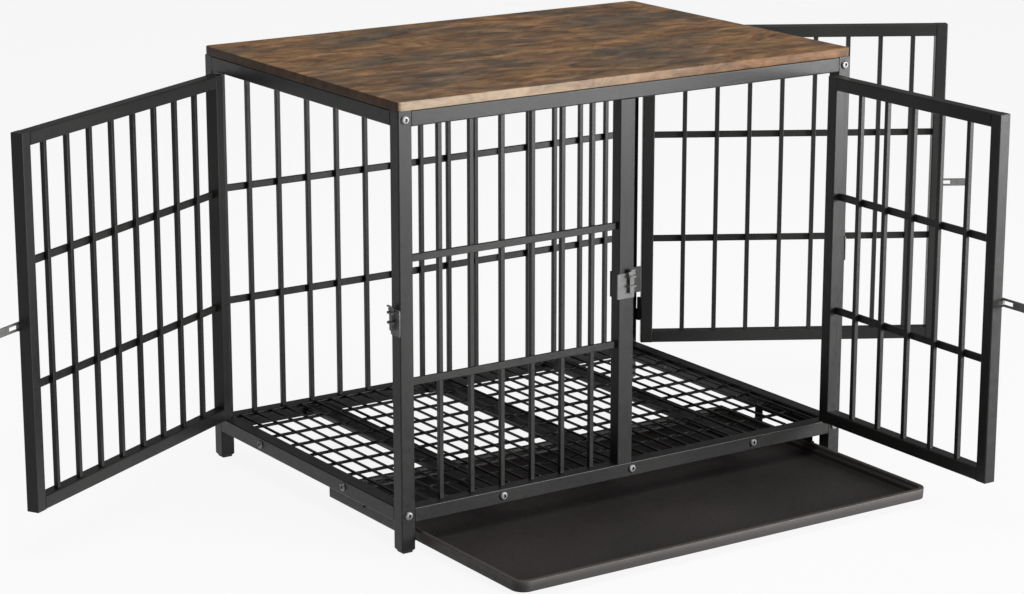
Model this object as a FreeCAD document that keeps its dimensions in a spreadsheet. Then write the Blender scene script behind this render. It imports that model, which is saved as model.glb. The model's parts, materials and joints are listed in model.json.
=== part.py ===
"""Dog crate that doubles as an end table: a wooden top on a steel frame with three barred
doors, a welded floor grate and a pull-out plastic tray.

Frame of the model: millimetres, X to the right along the front, Y to the back, Z up.
The origin is on the floor, in the middle of the crate. Each door stands open and the tray
is pulled out, because that is the pose that the joints count from."""
import FreeCAD, Part
import math
import os
import Sketcher
from FreeCAD import Placement, Rotation, Vector

doc = FreeCAD.newDocument("DogCrateTable")

# ---------------------------------------------------------------- sizes
SIZES = [
    # whole crate
    ("width", 900, "outside, along the front"),
    ("depth", 626, "outside, front to back"),
    ("height", 730, "floor to table surface"),
    ("board", 15, "thickness of the wooden top"),
    ("board_corner", 15, "radius of the top's corners"),
    # steel tube of the frame
    ("tube", 25, "outside of the square tube"),
    ("wall", 1.5, "wall of every tube"),
    ("tube_edge", 2, "outer edge radius of every tube"),
    ("foot", 6, "height of the foot plugs under the posts"),
    ("foot_inset", 0.8, "foot plug inside the post's outline"),
    ("foot_stem", 16, "part of the plug inside the post"),
    ("slip", 0.3, "gap of pieces that slide past or into each other"),
    ("rail_low", 50, "underside of the bottom rails"),
    ("mid_width", 30, "middle post across the front"),
    ("mid_depth", 22.5, "middle post front to back"),
    ("end_plate", 6, "welded plate that closes a side rail"),
    # bars
    ("bar_size", 8, "square bar of the panels and doors"),
    ("panel_set", 7, "front of the cross rails behind the frame's face"),
    ("cross_thick", 6, "cross rail, front to back"),
    ("cross_tall", 12, "cross rail, height"),
    ("cross_lower", 274.5, "underside of the lower cross rails"),
    ("cross_upper", 474.5, "underside of the upper cross rails"),
    ("front_bars", 6, "bars left of the middle post"),
    ("rear_bars", 14, "bars of the rear panel"),
    # doors
    ("door_tube", 22, "outside of the doors' square tube"),
    ("stile_plate", 2, "plate that closes each end of a door's stiles"),
    ("door_gap", 3, "gap round a closed door"),
    ("door_lift", 4.5, "gap below a door"),
    ("door_set", 4, "front of a door's cross rails behind its face"),
    ("door_lead", 79, "hinge edge to the first bar's centre"),
    ("side_bars", 8, "bars of a side door"),
    ("side_pitch", 61, "spacing of a side door's bars"),
    ("front_door_bars", 5, "bars of the front door"),
    ("front_pitch", 66, "spacing of the front door's bars"),
    ("left_open", 60.5, "degrees that the left door stands open"),
    ("right_open", 59.5, "degrees that the right door stands open"),
    ("front_open", 90, "degrees that the front door stands open"),
    # hinges
    ("knuckle", 8, "outside diameter of a hinge knuckle"),
    ("knuckle_long", 22, "height of one knuckle"),
    ("hinge_pin", 4, "diameter of the hinge pin"),
    ("pin_fit", 0.05, "radial clearance of the hinge pin"),
    ("leaf", 1.8, "thickness of a hinge leaf"),
    ("leaf_wide", 16, "hinge axis to the leaf's far edge"),
    ("hinge_lower", 140, "split of the lower hinges above the floor"),
    ("hinge_upper", 626, "split of the upper hinges above the floor"),
    # latches
    ("latch_height", 380, "middle of the staple above the floor"),
    ("keeper_plate", 2, "thickness of the keeper plate"),
    ("keeper_tall", 43, "height of the keeper plate"),
    ("keeper_wide", 34.5, "keeper plate on the middle post"),
    ("keeper_side_wide", 26, "keeper plate on a corner post"),
    ("staple_set", 9, "post edge to the middle of the staple"),
    ("staple_wire", 3.5, "section of the staple, as seen from above"),
    ("staple_tall", 4, "height of the staple and of its guide"),
    ("guide_rise", 16, "staple to the guide above it"),
    ("bolt_wide", 9, "width of the drop bolt"),
    ("bolt_thick", 4, "thickness of the drop bolt"),
    ("bolt_play", 0.75, "side clearance of the drop bolt"),
    ("bolt_below", 13, "bolt below the middle of the staple"),
    ("bolt_head", 14, "width of the bolt's head"),
    ("head_tall", 6, "height of the bolt's head"),
    ("curl", 5, "radius of the thumb curl, middle of the strip"),
    ("tongue_thick", 2.5, "thickness of a door's tongue"),
    ("tongue_tall", 14, "height of the tongue"),
    ("tongue_reach", 52, "tongue beyond the door's free edge"),
    ("tongue_root", 20, "part of the tongue on the stile"),
    ("tongue_gap", 0.4, "tongue to keeper plate on a closed door"),
    ("slot_long", 21, "slot for the staple, from the door's edge"),
    ("slot_tall", 7, "height of that slot"),
    ("stop_reach", 31, "door stop beyond the middle post"),
    ("stop_thick", 3, "thickness of the door stop"),
    # floor
    ("rod", 4.5, "square rods along X, below"),
    ("wire", 3.5, "height of the wires along Y, on the rods"),
    ("wire_wide", 4, "width of those wires"),
    ("rods", 10, "number of rods"),
    ("wires", 28, "number of wires"),
    ("rod_pitch", 63.4, "spacing of the rods"),
    ("wire_pitch", 30.4, "spacing of the wires"),
    ("rod_end", 1, "gap at a rod's end"),
    ("strap", 5, "thickness of the flat straps"),
    ("strap_wide", 50, "width of the flat straps"),
    ("strap_end", 8, "thickness of a strap's end block"),
    ("strap_tall", 15, "height of the end blocks and the side ledgers"),
    ("strap_pitch", 257, "spacing of the straps"),
    ("ledger", 12, "width of the side ledgers"),
    # tray
    ("tray_side", 12, "gap between the tray and a post's inner face"),
    ("tray_long", 570, "front to back"),
    ("tray_tall", 18, "height of the tray"),
    ("tray_low", 12, "underside of the tray above the floor"),
    ("tray_out", 305, "how far the tray is pulled out"),
    ("tray_corner", 22, "outer corner radius"),
    ("tray_rim", 9, "width of the rim"),
    ("tray_step", 7, "width of the step inside the rim"),
    ("tray_step_deep", 6, "rim to step"),
    ("tray_skin", 2.5, "wall of the moulding"),
    ("runner", 2, "sheet of the tray runners"),
    ("runner_under", 10, "lower flange under the tray"),
    ("runner_over", 6, "upper flange over the tray's rim"),
    ("runner_long", 263, "length of a runner"),
    ("hanger", 3, "thickness of a hanger strip"),
    ("hanger_wide", 20, "width of a hanger strip"),
    ("hanger_front", 18, "front rail to the first hanger's middle"),
    ("hanger_pitch", 140, "spacing of the two hangers"),
    # screws
    ("screw", 6, "diameter of the frame screws"),
    ("screw_play", 0.4, "radial clearance of a screw in a through hole"),
    ("thread_play", 0.05, "radial gap drawn at a thread"),
    ("head_wide", 12.5, "diameter of a screw's button head"),
    ("head_high", 3.3, "height of a button head"),
    ("head_flat", 7, "diameter of the flat on a button head"),
    ("screw_top", 13.5, "top rail screws below the board"),
    ("screw_low", 63.5, "bottom screws above the floor"),
    ("ledger_front", 130, "middle of the crate to the ledger's front screw"),
    ("ledger_back", 147, "middle of the crate to the ledger's back screw"),
]
sheet = doc.addObject("Spreadsheet::Sheet", "Sizes")
for line, (name, size, note) in enumerate(SIZES, start=1):
    sheet.set(f"A{line}", name)
    sheet.set(f"B{line}", str(size))
    sheet.setAlias(f"B{line}", name)
    sheet.set(f"C{line}", note)
doc.recompute()


def of(text):
    """Spell an expression on the sheet: every alias gets the sheet's name in front."""
    aliases = {name for name, size, note in SIZES}
    words = text.replace("(", " ( ").replace(")", " ) ").split()
    return " ".join("Sizes." + word if word in aliases else word for word in words)


SCRATCH = "E1"                                 # cell that works out one number at a time


def value(text):
    """Number that an expression on the sheet gives now."""
    sheet.set(SCRATCH, "=" + text)
    sheet.recompute()
    return float(sheet.get(SCRATCH))


# ---------------------------------------------------------------- drawing helpers
PLANES = {"X": "YZ_Plane", "Y": "XZ_Plane", "Z": "XY_Plane"}
QUARTER_TURN = math.pi / 2


def new_body(label):
    body = doc.addObject("PartDesign::Body", label)
    body.Label = label
    return body


def origin(body, role):
    return next(item for item in body.Origin.OriginFeatures if item.Role == role)


def place(body, x, y, z="0", turn="0"):
    """Set a finished body on its place, turned about the vertical."""
    body.Placement = Placement(Vector(0, 0, 0), Rotation(Vector(0, 0, 1), 1))
    body.setExpression("Placement.Base.x", of(x))
    body.setExpression("Placement.Base.y", of(y))
    body.setExpression("Placement.Base.z", of(z))
    body.setExpression("Placement.Rotation.Angle", of(turn))


def section(body, axis, start):
    """Sketch square to an axis. It is drawn in (Y, Z), (X, Z) or (X, Y)."""
    sketch = body.newObject("Sketcher::SketchObject", "Section")
    sketch.AttachmentSupport = (origin(body, PLANES[axis]), [""])
    sketch.MapMode = "FlatFace"
    away = f"0 - ( {start} )" if axis == "Y" else start
    sketch.setExpression("AttachmentOffset.Base.z", of(away))
    return sketch


def pin_down(sketch, edge, end, u=None, v=None):
    """Give the end of an edge its place, as expressions on the sheet."""
    for kind, text in (("DistanceX", u), ("DistanceY", v)):
        if text is not None:
            rule = Sketcher.Constraint(kind, -1, 1, edge, end, value(text))
            sketch.setExpression(f"Constraints[{sketch.addConstraint(rule)}]", of(text))


def outline(sketch, points):
    """Closed outline of straight lines through the points."""
    first = sketch.GeometryCount
    at = [Vector(value(u), value(v), 0) for u, v in points]
    count = len(points)
    sketch.addGeometry([Part.LineSegment(at[i], at[(i + 1) % count]) for i in range(count)], False)
    for i, (u, v) in enumerate(points):
        joined = first + (i + 1) % count
        sketch.addConstraint(Sketcher.Constraint("Coincident", first + i, 2, joined, 1))
        pin_down(sketch, first + i, 1, u, v)


def rectangle(sketch, u, v, wide, tall, radius=None):
    """Rectangle from its lower left corner, with round corners if a radius is given."""
    right, top = f"{u} + {wide}", f"{v} + {tall}"
    if radius is None:
        outline(sketch, [(u, v), (right, v), (right, top), (u, top)])
        return
    first = sketch.GeometryCount
    r = value(radius)
    left_at, right_at, low_at, top_at = value(u), value(right), value(v), value(top)
    ends = [((left_at + r, low_at), (right_at - r, low_at)),
            ((right_at, low_at + r), (right_at, top_at - r)),
            ((right_at - r, top_at), (left_at + r, top_at)),
            ((left_at, top_at - r), (left_at, low_at + r))]
    sketch.addGeometry([Part.LineSegment(Vector(*a, 0), Vector(*b, 0)) for a, b in ends], False)
    middles = [(right_at - r, low_at + r), (right_at - r, top_at - r),
               (left_at + r, top_at - r), (left_at + r, low_at + r)]
    for i, middle in enumerate(middles):
        ring = Part.Circle(Vector(*middle, 0), Vector(0, 0, 1), r)
        sketch.addGeometry(Part.ArcOfCircle(ring, (i - 1) * QUARTER_TURN, i * QUARTER_TURN), False)
    for i in range(4):
        line, arc, following = first + i, first + 4 + i, first + (i + 1) % 4
        sketch.addConstraint(Sketcher.Constraint("Tangent", line, 2, arc, 1))
        sketch.addConstraint(Sketcher.Constraint("Tangent", arc, 2, following, 1))
        sketch.addConstraint(Sketcher.Constraint("Vertical" if i % 2 else "Horizontal", line))
        if i:
            sketch.addConstraint(Sketcher.Constraint("Equal", first + 4, arc))
    rule = sketch.addConstraint(Sketcher.Constraint("Radius", first + 4, r))
    sketch.setExpression(f"Constraints[{rule}]", of(radius))
    pin_down(sketch, first, 1, v=v)
    pin_down(sketch, first + 1, 1, u=right)
    pin_down(sketch, first + 2, 1, v=top)
    pin_down(sketch, first + 3, 1, u=u)


def polygon(sketch, u, v, radius, sides):
    """Regular polygon about (u, v), with a corner on its right."""
    turns = [4 * QUARTER_TURN * i / sides for i in range(sides)]
    outline(sketch, [(f"{u} + {radius} * {math.cos(turn):.6f}",
                      f"{v} + {radius} * {math.sin(turn):.6f}") for turn in turns])


def circle(sketch, u, v, radius):
    ring = sketch.addGeometry(Part.Circle(Vector(value(u), value(v), 0), Vector(0, 0, 1),
                                          value(radius)), False)
    pin_down(sketch, ring, 3, u, v)
    rule = sketch.addConstraint(Sketcher.Constraint("Radius", ring, value(radius)))
    sketch.setExpression(f"Constraints[{rule}]", of(radius))


def quarter_bend(sketch, u, v, inner, outer):
    """Quarter of a ring about (u, v), from its right-hand side up to its top."""
    centre = Vector(value(u), value(v), 0)
    arcs = []
    for radius in (inner, outer):
        ring = Part.Circle(centre, Vector(0, 0, 1), value(radius))
        arc = sketch.addGeometry(Part.ArcOfCircle(ring, 0, QUARTER_TURN), False)
        pin_down(sketch, arc, 3, u, v)
        rule = sketch.addConstraint(Sketcher.Constraint("Radius", arc, value(radius)))
        sketch.setExpression(f"Constraints[{rule}]", of(radius))
        pin_down(sketch, arc, 1, v=v)
        pin_down(sketch, arc, 2, u=u)
        arcs.append(arc)
    for end in (1, 2):
        ends = [sketch.getPoint(arc, end) for arc in arcs]
        line = sketch.addGeometry(Part.LineSegment(*ends), False)
        for arc, line_end in zip(arcs, (1, 2)):
            sketch.addConstraint(Sketcher.Constraint("Coincident", line, line_end, arc, end))


def extrude(body, sketch, axis, long):
    """Pad a section towards the positive end of its axis."""
    pad = body.newObject("PartDesign::Pad", "Pad")
    pad.Profile = sketch
    pad.Reversed = axis == "Y"
    pad.setExpression("Length", of(long))
    body.Tip = pad
    return pad


def cut(body, sketch, axis, long):
    """Cut a section away towards the positive end of its axis."""
    pocket = body.newObject("PartDesign::Pocket", "Cut")
    pocket.Profile = sketch
    pocket.Reversed = axis != "Y"
    pocket.setExpression("Length", of(long))
    body.Tip = pocket
    return pocket


def block(body, x, y, z):
    """Rectangular block. Each of x, y and z is a (start, length) pair."""
    sketch = section(body, "Z", z[0])
    rectangle(sketch, x[0], y[0], x[1], y[1])
    return extrude(body, sketch, "Z", z[1])


def row(body, axis, length, count, feature=None):
    """Repeat a feature along an axis: count copies over a length."""
    pattern = body.newObject("PartDesign::LinearPattern", "Row")
    if feature is not None:
        pattern.Originals = [feature]
    pattern.Direction = (origin(body, f"{axis}_Axis"), [""])
    pattern.setExpression("Length", of(length))
    pattern.setExpression("Occurrences", of(count))
    body.Tip = pattern
    return pattern


def mirror(body, role, feature=None):
    """Repeat a feature on the other side of an origin plane."""
    twin = body.newObject("PartDesign::Mirrored", "Twin")
    if feature is not None:
        twin.Originals = [feature]
    twin.MirrorPlane = (origin(body, role), [""])
    body.Tip = twin
    return twin


def repeat(body, features, *steps):
    """Repeat features by several steps at once. Each step is a function of the body."""
    many = body.newObject("PartDesign::MultiTransform", "Repeat")
    many.Originals = features
    many.Transformations = [step(body) for step in steps]
    body.Tip = many
    return many


def drill(body, axis, start, long, u, v, radius):
    """Round hole along an axis."""
    sketch = section(body, axis, start)
    circle(sketch, u, v, radius)
    return cut(body, sketch, axis, long)


def screw_hole(body, axis, start, long, u, v, play):
    """Hole for a frame screw, six-sided as the screw's shank is drawn."""
    sketch = section(body, axis, start)
    polygon(sketch, u, v, f"( screw / 2 + {play} )", SHANK_SIDES)
    return cut(body, sketch, axis, long)


def tube(body, axis, start, long, u, v, wide, tall, ends="0"):
    """Square tube with rounded edges. Ends is the plate left standing at each end."""
    skin = section(body, axis, start)
    rectangle(skin, u, v, wide, tall, "tube_edge")
    extrude(body, skin, axis, long)
    bore = section(body, axis, f"{start} + {ends}")
    rectangle(bore, f"{u} + wall", f"{v} + wall", f"{wide} - 2 * wall", f"{tall} - 2 * wall")
    cut(body, bore, axis, f"{long} - 2 * {ends}")


def span(side, near, thick):
    """Start and length of what lies from near to near + thick, counted from 0 towards a side."""
    if side > 0:
        return near, thick
    return f"0 - ( {near} ) - ( {thick} )", thick


nodes = []


def finish(body):
    """Name the body's file in the list of exports."""
    nodes.append(body)
    return body


# ---------------------------------------------------------------- places used by many pieces
LEFT, FRONT = "( 0 - width / 2 )", "( 0 - depth / 2 )"
RIGHT_POST, REAR_POST = "( width / 2 - tube )", "( depth / 2 - tube )"
INNER_LEFT, INNER_FRONT = "( tube - width / 2 )", "( tube - depth / 2 )"
INSIDE_WIDE, INSIDE_DEEP = "( width - 2 * tube )", "( depth - 2 * tube )"
FRAME_TOP = "( height - board )"
RAIL_HIGH = "( height - board - tube )"
RAIL_TOP = "( rail_low + tube )"
SCREW_HIGH = "( height - board - screw_top )"
GRATE_LOW = "( rail_low + tube - wire - rod )"
STRAP_LOW = "( rail_low + tube - wire - rod - strap_tall )"
SHANK_SIDES, HEAD_SIDES = 6, 8                 # the many small screws are drawn with few faces

# ---------------------------------------------------------------- wooden top
table_top = new_body("table_top")
face = section(table_top, "Z", FRAME_TOP)
rectangle(face, LEFT, FRONT, "width", "depth", "board_corner")
extrude(table_top, face, "Z", "board")
finish(table_top)

# ---------------------------------------------------------------- posts and foot plugs
CORNERS = {"front_left": (LEFT, FRONT), "front_right": (RIGHT_POST, FRONT),
           "rear_left": (LEFT, REAR_POST), "rear_right": (RIGHT_POST, REAR_POST)}
for corner, (x, y) in CORNERS.items():
    post = new_body(f"post_{corner}")
    tube(post, "Z", "foot", f"{FRAME_TOP} - foot", x, y, "tube", "tube")
    for level in ("screw_low", SCREW_HIGH):
        screw_hole(post, "Y", y, "tube", f"{x} + tube / 2", level, "screw_play")
    finish(post)

post_middle = new_body("post_middle")
tube(post_middle, "Z", RAIL_TOP, f"{RAIL_HIGH} - {RAIL_TOP}", "0 - mid_width", FRONT,
     "mid_width", "mid_depth")
finish(post_middle)

foot_plugs = new_body("foot_plugs")
pad_x, pad_y = f"{LEFT} + foot_inset", f"{FRONT} + foot_inset"
pad = section(foot_plugs, "Z", "0")
rectangle(pad, pad_x, pad_y, "tube - 2 * foot_inset", "tube - 2 * foot_inset")
pad = extrude(foot_plugs, pad, "Z", "foot")
stem = block(foot_plugs, (f"{LEFT} + wall + slip", "tube - 2 * ( wall + slip )"),
             (f"{FRONT} + wall + slip", "tube - 2 * ( wall + slip )"), ("foot", "foot_stem"))
repeat(foot_plugs, [pad, stem], lambda b: mirror(b, "YZ_Plane"), lambda b: mirror(b, "XZ_Plane"))
finish(foot_plugs)

# ---------------------------------------------------------------- rails of the frame
for name, y in (("front", FRONT), ("rear", REAR_POST)):
    rail = new_body(f"top_rail_{name}")
    tube(rail, "X", INNER_LEFT, INSIDE_WIDE, y, RAIL_HIGH, "tube", "tube")
    finish(rail)
    rail = new_body(f"bottom_rail_{name}")
    tube(rail, "X", INNER_LEFT, INSIDE_WIDE, y, "rail_low", "tube", "tube")
    for place_x in ("0 - strap_pitch", "0", "strap_pitch"):
        screw_hole(rail, "Y", y, "tube", place_x, "screw_low", "screw_play")
    finish(rail)
for name, x in (("left", LEFT), ("right", RIGHT_POST)):
    for level, z, screw_z in (("top", RAIL_HIGH, SCREW_HIGH), ("bottom", "rail_low", "screw_low")):
        rail = new_body(f"{level}_rail_{name}")
        tube(rail, "Y", INNER_FRONT, INSIDE_DEEP, x, z, "tube", "tube", "end_plate")
        screw_hole(rail, "Y", INNER_FRONT, INSIDE_DEEP, f"{x} + tube / 2", screw_z, "thread_play")
        if level == "bottom":
            for place_y in ("0 - ledger_front", "ledger_back"):
                screw_hole(rail, "X", x, "tube", place_y, "screw_low", "screw_play")
        finish(rail)

# ---------------------------------------------------------------- fixed panels
PANEL_LONG = f"( {RAIL_HIGH} - {RAIL_TOP} )"


def fixed_panel(name, axis_y, outward, start, wide, count, pitch, first):
    """Bars between the rails, with two cross rails welded to their outer side."""
    near = f"{axis_y} + {outward} * ( panel_set + cross_thick / 2 )"
    bar_middle = f"{axis_y} + {outward} * ( panel_set + cross_thick + bar_size / 2 )"
    bars = new_body(f"{name}_panel_bars")
    bar = block(bars, (f"{first} - bar_size / 2", "bar_size"),
                (f"{bar_middle} - bar_size / 2", "bar_size"), (RAIL_TOP, PANEL_LONG))
    row(bars, "X", f"( {count} - 1 ) * {pitch}", count, bar)
    finish(bars)
    rails = new_body(f"{name}_panel_rails")
    for level in ("cross_lower", "cross_upper"):
        block(rails, (start, wide), (f"{near} - cross_thick / 2", "cross_thick"),
              (level, "cross_tall"))
    finish(rails)


FRONT_WIDE = f"( {INSIDE_WIDE} / 2 - mid_width )"
FRONT_PITCH = f"( ( {INSIDE_WIDE} / 2 - mid_width / 2 ) / ( front_bars + 1 ) )"
REAR_PITCH = "( ( width - tube ) / ( rear_bars + 1 ) )"
fixed_panel("front", FRONT, "1", INNER_LEFT, FRONT_WIDE, "front_bars", FRONT_PITCH,
            f"{INNER_LEFT} + {FRONT_PITCH}")
fixed_panel("rear", "( depth / 2 )", "( 0 - 1 )", INNER_LEFT, INSIDE_WIDE, "rear_bars", REAR_PITCH,
            f"( tube / 2 - width / 2 + {REAR_PITCH} )")

# ---------------------------------------------------------------- floor
grate_rods = new_body("grate_rods")
rod_first = "( 0 - ( rods - 1 ) * rod_pitch / 2 )"
rods = block(grate_rods, (f"{INNER_LEFT} + rod_end", f"{INSIDE_WIDE} - 2 * rod_end"),
             (f"{rod_first} - rod / 2", "rod"), (GRATE_LOW, "rod"))
row(grate_rods, "Y", "( rods - 1 ) * rod_pitch", "rods", rods)
grate_wires = new_body("grate_wires")
wire_first = "( 0 - ( wires - 1 ) * wire_pitch / 2 )"
wires = block(grate_wires, (f"{wire_first} - wire_wide / 2", "wire_wide"),
              (f"{INNER_FRONT} + rod_end", f"{INSIDE_DEEP} - 2 * rod_end"),
              (f"{RAIL_TOP} - wire", "wire"))
row(grate_wires, "X", "( wires - 1 ) * wire_pitch", "wires", wires)
# The wires are welded across the rods. Each stays a solid of its own in this one node.
floor_grate = doc.addObject("Part::Compound", "floor_grate")
floor_grate.Label = "floor_grate"
floor_grate.Links = [grate_rods, grate_wires]
finish(floor_grate)

grate_straps = new_body("grate_straps")
strap_left = "0 - strap_pitch - strap_wide / 2"
strip = block(grate_straps, (strap_left, "strap_wide"), (INNER_FRONT, INSIDE_DEEP),
              (f"{GRATE_LOW} - strap", "strap"))
row(grate_straps, "X", "2 * strap_pitch", "3", strip)
end = block(grate_straps, (strap_left, "strap_wide"), (INNER_FRONT, "strap_end"),
            (STRAP_LOW, "strap_tall"))
thread = screw_hole(grate_straps, "Y", INNER_FRONT, "strap_end", "0 - strap_pitch", "screw_low",
                    "thread_play")
repeat(grate_straps, [end, thread], lambda b: row(b, "X", "2 * strap_pitch", "3"),
       lambda b: mirror(b, "XZ_Plane"))
finish(grate_straps)

for name, x in (("left", INNER_LEFT), ("right", f"{RIGHT_POST} - ledger")):
    ledger = new_body(f"side_ledger_{name}")
    block(ledger, (x, "ledger"), (f"{INNER_FRONT} + strap_end", f"{INSIDE_DEEP} - 2 * strap_end"),
          (STRAP_LOW, "strap_tall"))
    for place_y in ("0 - ledger_front", "ledger_back"):
        screw_hole(ledger, "X", x, "ledger", place_y, "screw_low", "thread_play")
    finish(ledger)

# ---------------------------------------------------------------- tray and its runners
tray = new_body("tray")
TRAY_WIDE = f"( {INSIDE_WIDE} - 2 * tray_side )"
for level, tall, inset, build in (("0", "tray_tall", "0", extrude),
                                  ("tray_tall - tray_step_deep", "tray_step_deep", "tray_rim", cut),
                                  ("tray_skin", "tray_tall", "tray_rim + tray_step", cut)):
    sketch = section(tray, "Z", level)
    rectangle(sketch, f"0 - {TRAY_WIDE} / 2 + {inset}", f"0 - tray_long / 2 + {inset}",
              f"{TRAY_WIDE} - 2 * ( {inset} )", f"tray_long - 2 * ( {inset} )",
              f"tray_corner - ( {inset} )")
    build(tray, sketch, "Z", tall)
hollow = section(tray, "Z", "0")
for inset in ("tray_skin", "tray_rim + tray_step - tray_skin"):
    rectangle(hollow, f"0 - {TRAY_WIDE} / 2 + {inset}", f"0 - tray_long / 2 + {inset}",
              f"{TRAY_WIDE} - 2 * ( {inset} )", f"tray_long - 2 * ( {inset} )",
              f"tray_corner - ( {inset} )")
cut(tray, hollow, "Z", "tray_tall - tray_step_deep - tray_skin")
place(tray, "0", "0 - tray_out", "tray_low")
finish(tray)

RUNNER_LOW = "( tray_low - slip - runner )"
RUNNER_HIGH = "( tray_low + tray_tall + slip + runner )"
WEB = f"( {TRAY_WIDE} / 2 + slip )"
UNDER, OVER = f"( {TRAY_WIDE} / 2 - runner_under )", f"( {TRAY_WIDE} / 2 - runner_over )"
for name, side in (("left", -1), ("right", 1)):
    runner = new_body(f"tray_runner_{name}")
    channel = section(runner, "Y", INNER_FRONT)
    outline(channel, [(f"{side} * {u}", v) for u, v in (
        (UNDER, RUNNER_LOW), (f"( {WEB} + runner )", RUNNER_LOW),
        (f"( {WEB} + runner )", RUNNER_HIGH), (OVER, RUNNER_HIGH),
        (OVER, f"{RUNNER_HIGH} - runner"), (WEB, f"{RUNNER_HIGH} - runner"),
        (WEB, f"{RUNNER_LOW} + runner"), (UNDER, f"{RUNNER_LOW} + runner"))])
    extrude(runner, channel, "Y", "runner_long")
    hanger = block(runner, span(side, f"{WEB} + runner", "hanger"),
                   (f"{INNER_FRONT} + hanger_front", "hanger_wide"),
                   (RUNNER_LOW, f"{STRAP_LOW} - {RUNNER_LOW}"))
    row(runner, "Y", "hanger_pitch", "2", hanger)
    finish(runner)

# ---------------------------------------------------------------- doors
OUTER = "( knuckle / 2 )"                      # hinge axis to the door's outer face
DOOR_LOW = "( rail_low + tube + door_lift )"
DOOR_TALL = f"( {RAIL_HIGH} - door_gap - {DOOR_LOW} )"
LEVELS = ("hinge_lower", "hinge_upper")


def behind_face(hand, near, thick):
    """Start and length, across a door, of what lies from near to near + thick behind its face.

    The face is at OUTER inside the hinge axis, and outside is towards hand along Y."""
    return span(-hand, f"{OUTER} + {near}", thick)


def door(name, hand, long, count, pitch, x, y, turn):
    """One barred door, drawn from its hinge axis along X and then swung to its place."""
    first = "( door_gap / 2 )"
    free = f"( door_gap / 2 + {long} )"
    inside = f"( {long} - 2 * door_tube )"
    whole = behind_face(hand, "0", "door_tube")

    def done(body):
        place(body, x, y, "0", turn)
        finish(body)

    for part, start in (("hinge_stile", first), ("free_stile", f"{free} - door_tube")):
        stile = new_body(f"{name}_door_{part}")
        tube(stile, "Z", DOOR_LOW, DOOR_TALL, start, whole[0], "door_tube", "door_tube", "stile_plate")
        done(stile)
    top_level = f"{DOOR_LOW} + {DOOR_TALL} - door_tube"
    for part, level in (("bottom_rail", DOOR_LOW), ("top_rail", top_level)):
        rail = new_body(f"{name}_door_{part}")
        tube(rail, "X", f"{first} + door_tube", inside, whole[0], level, "door_tube", "door_tube")
        done(rail)

    bars = new_body(f"{name}_door_bars")
    bar = block(bars, (f"{first} + door_lead - bar_size / 2", "bar_size"),
                behind_face(hand, "door_set + cross_thick", "bar_size"),
                (f"{DOOR_LOW} + door_tube", f"{DOOR_TALL} - 2 * door_tube"))
    row(bars, "X", f"( {count} - 1 ) * {pitch}", count, bar)
    done(bars)
    rails = new_body(f"{name}_door_cross_rails")
    for level in ("cross_lower", "cross_upper"):
        block(rails, (f"{first} + door_tube", inside), behind_face(hand, "door_set", "cross_thick"),
              (level, "cross_tall"))
    done(rails)

    tongue = new_body(f"{name}_door_latch_tongue")
    stand = "( keeper_plate + tongue_gap )"
    level = ("latch_height - tongue_tall / 2", "tongue_tall")
    block(tongue, (f"{free} - tongue_root", "tongue_root"),
          behind_face(hand, f"0 - {stand}", stand), level)
    block(tongue, (f"{free} - tongue_root", "tongue_root + tongue_reach"),
          behind_face(hand, f"0 - {stand} - tongue_thick", "tongue_thick"), level)
    slot = section(tongue, "Z", "latch_height - slot_tall / 2")
    across = behind_face(hand, f"0 - {stand} - tongue_thick", "tongue_thick")
    rectangle(slot, free, across[0], "slot_long", across[1])
    cut(tongue, slot, "Z", "slot_tall")
    done(tongue)

    knuckles = new_body(f"{name}_door_hinge_knuckles")
    for level in LEVELS:
        foot_z = f"{level} + slip"
        ring = section(knuckles, "Z", foot_z)
        circle(ring, "0", "0", "knuckle / 2")
        extrude(knuckles, ring, "Z", "knuckle_long")
        block(knuckles, ("0", "leaf_wide"), behind_face(hand, "0 - leaf", "leaf"),
              (foot_z, "knuckle_long"))
    for level in LEVELS:
        drill(knuckles, "Z", f"{level} + slip", "knuckle_long", "0", "0", "hinge_pin / 2 + pin_fit")
    done(knuckles)


SIDE_LONG = f"( {INSIDE_DEEP} - 2 * door_gap )"
FRONT_LONG = f"( {INSIDE_WIDE} / 2 - 2 * door_gap )"
SIDE_AXIS_Y = f"( {REAR_POST} - door_gap / 2 )"
LEFT_AXIS = (f"{LEFT} - {OUTER}", SIDE_AXIS_Y)
RIGHT_AXIS = (f"width / 2 + {OUTER}", SIDE_AXIS_Y)
FRONT_AXIS = (f"{RIGHT_POST} - door_gap / 2", f"{FRONT} - {OUTER}")
door("left", -1, SIDE_LONG, "side_bars", "side_pitch", *LEFT_AXIS, "0 - 90 - left_open")
door("right", 1, SIDE_LONG, "side_bars", "side_pitch", *RIGHT_AXIS, "right_open - 90")
door("front", 1, FRONT_LONG, "front_door_bars", "front_pitch", *FRONT_AXIS, "180 + front_open")

# ---------------------------------------------------------------- hinge pins on the posts
def hinge_half(axis, leaf_x, leaf_y):
    """Lower half of a hinge at the lower level: knuckle, pin and leaf."""
    low = "hinge_lower - knuckle_long"
    parts = []
    for radius, level in (("knuckle / 2", low), ("hinge_pin / 2", "hinge_lower")):
        ring = section(hinge_pins, "Z", level)
        circle(ring, *axis, radius)
        parts.append(extrude(hinge_pins, ring, "Z", "knuckle_long"))
    parts.append(block(hinge_pins, leaf_x, leaf_y, (low, "knuckle_long")))
    return parts


def raised(body):
    return row(body, "Z", "hinge_upper - hinge_lower", "2")


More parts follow.
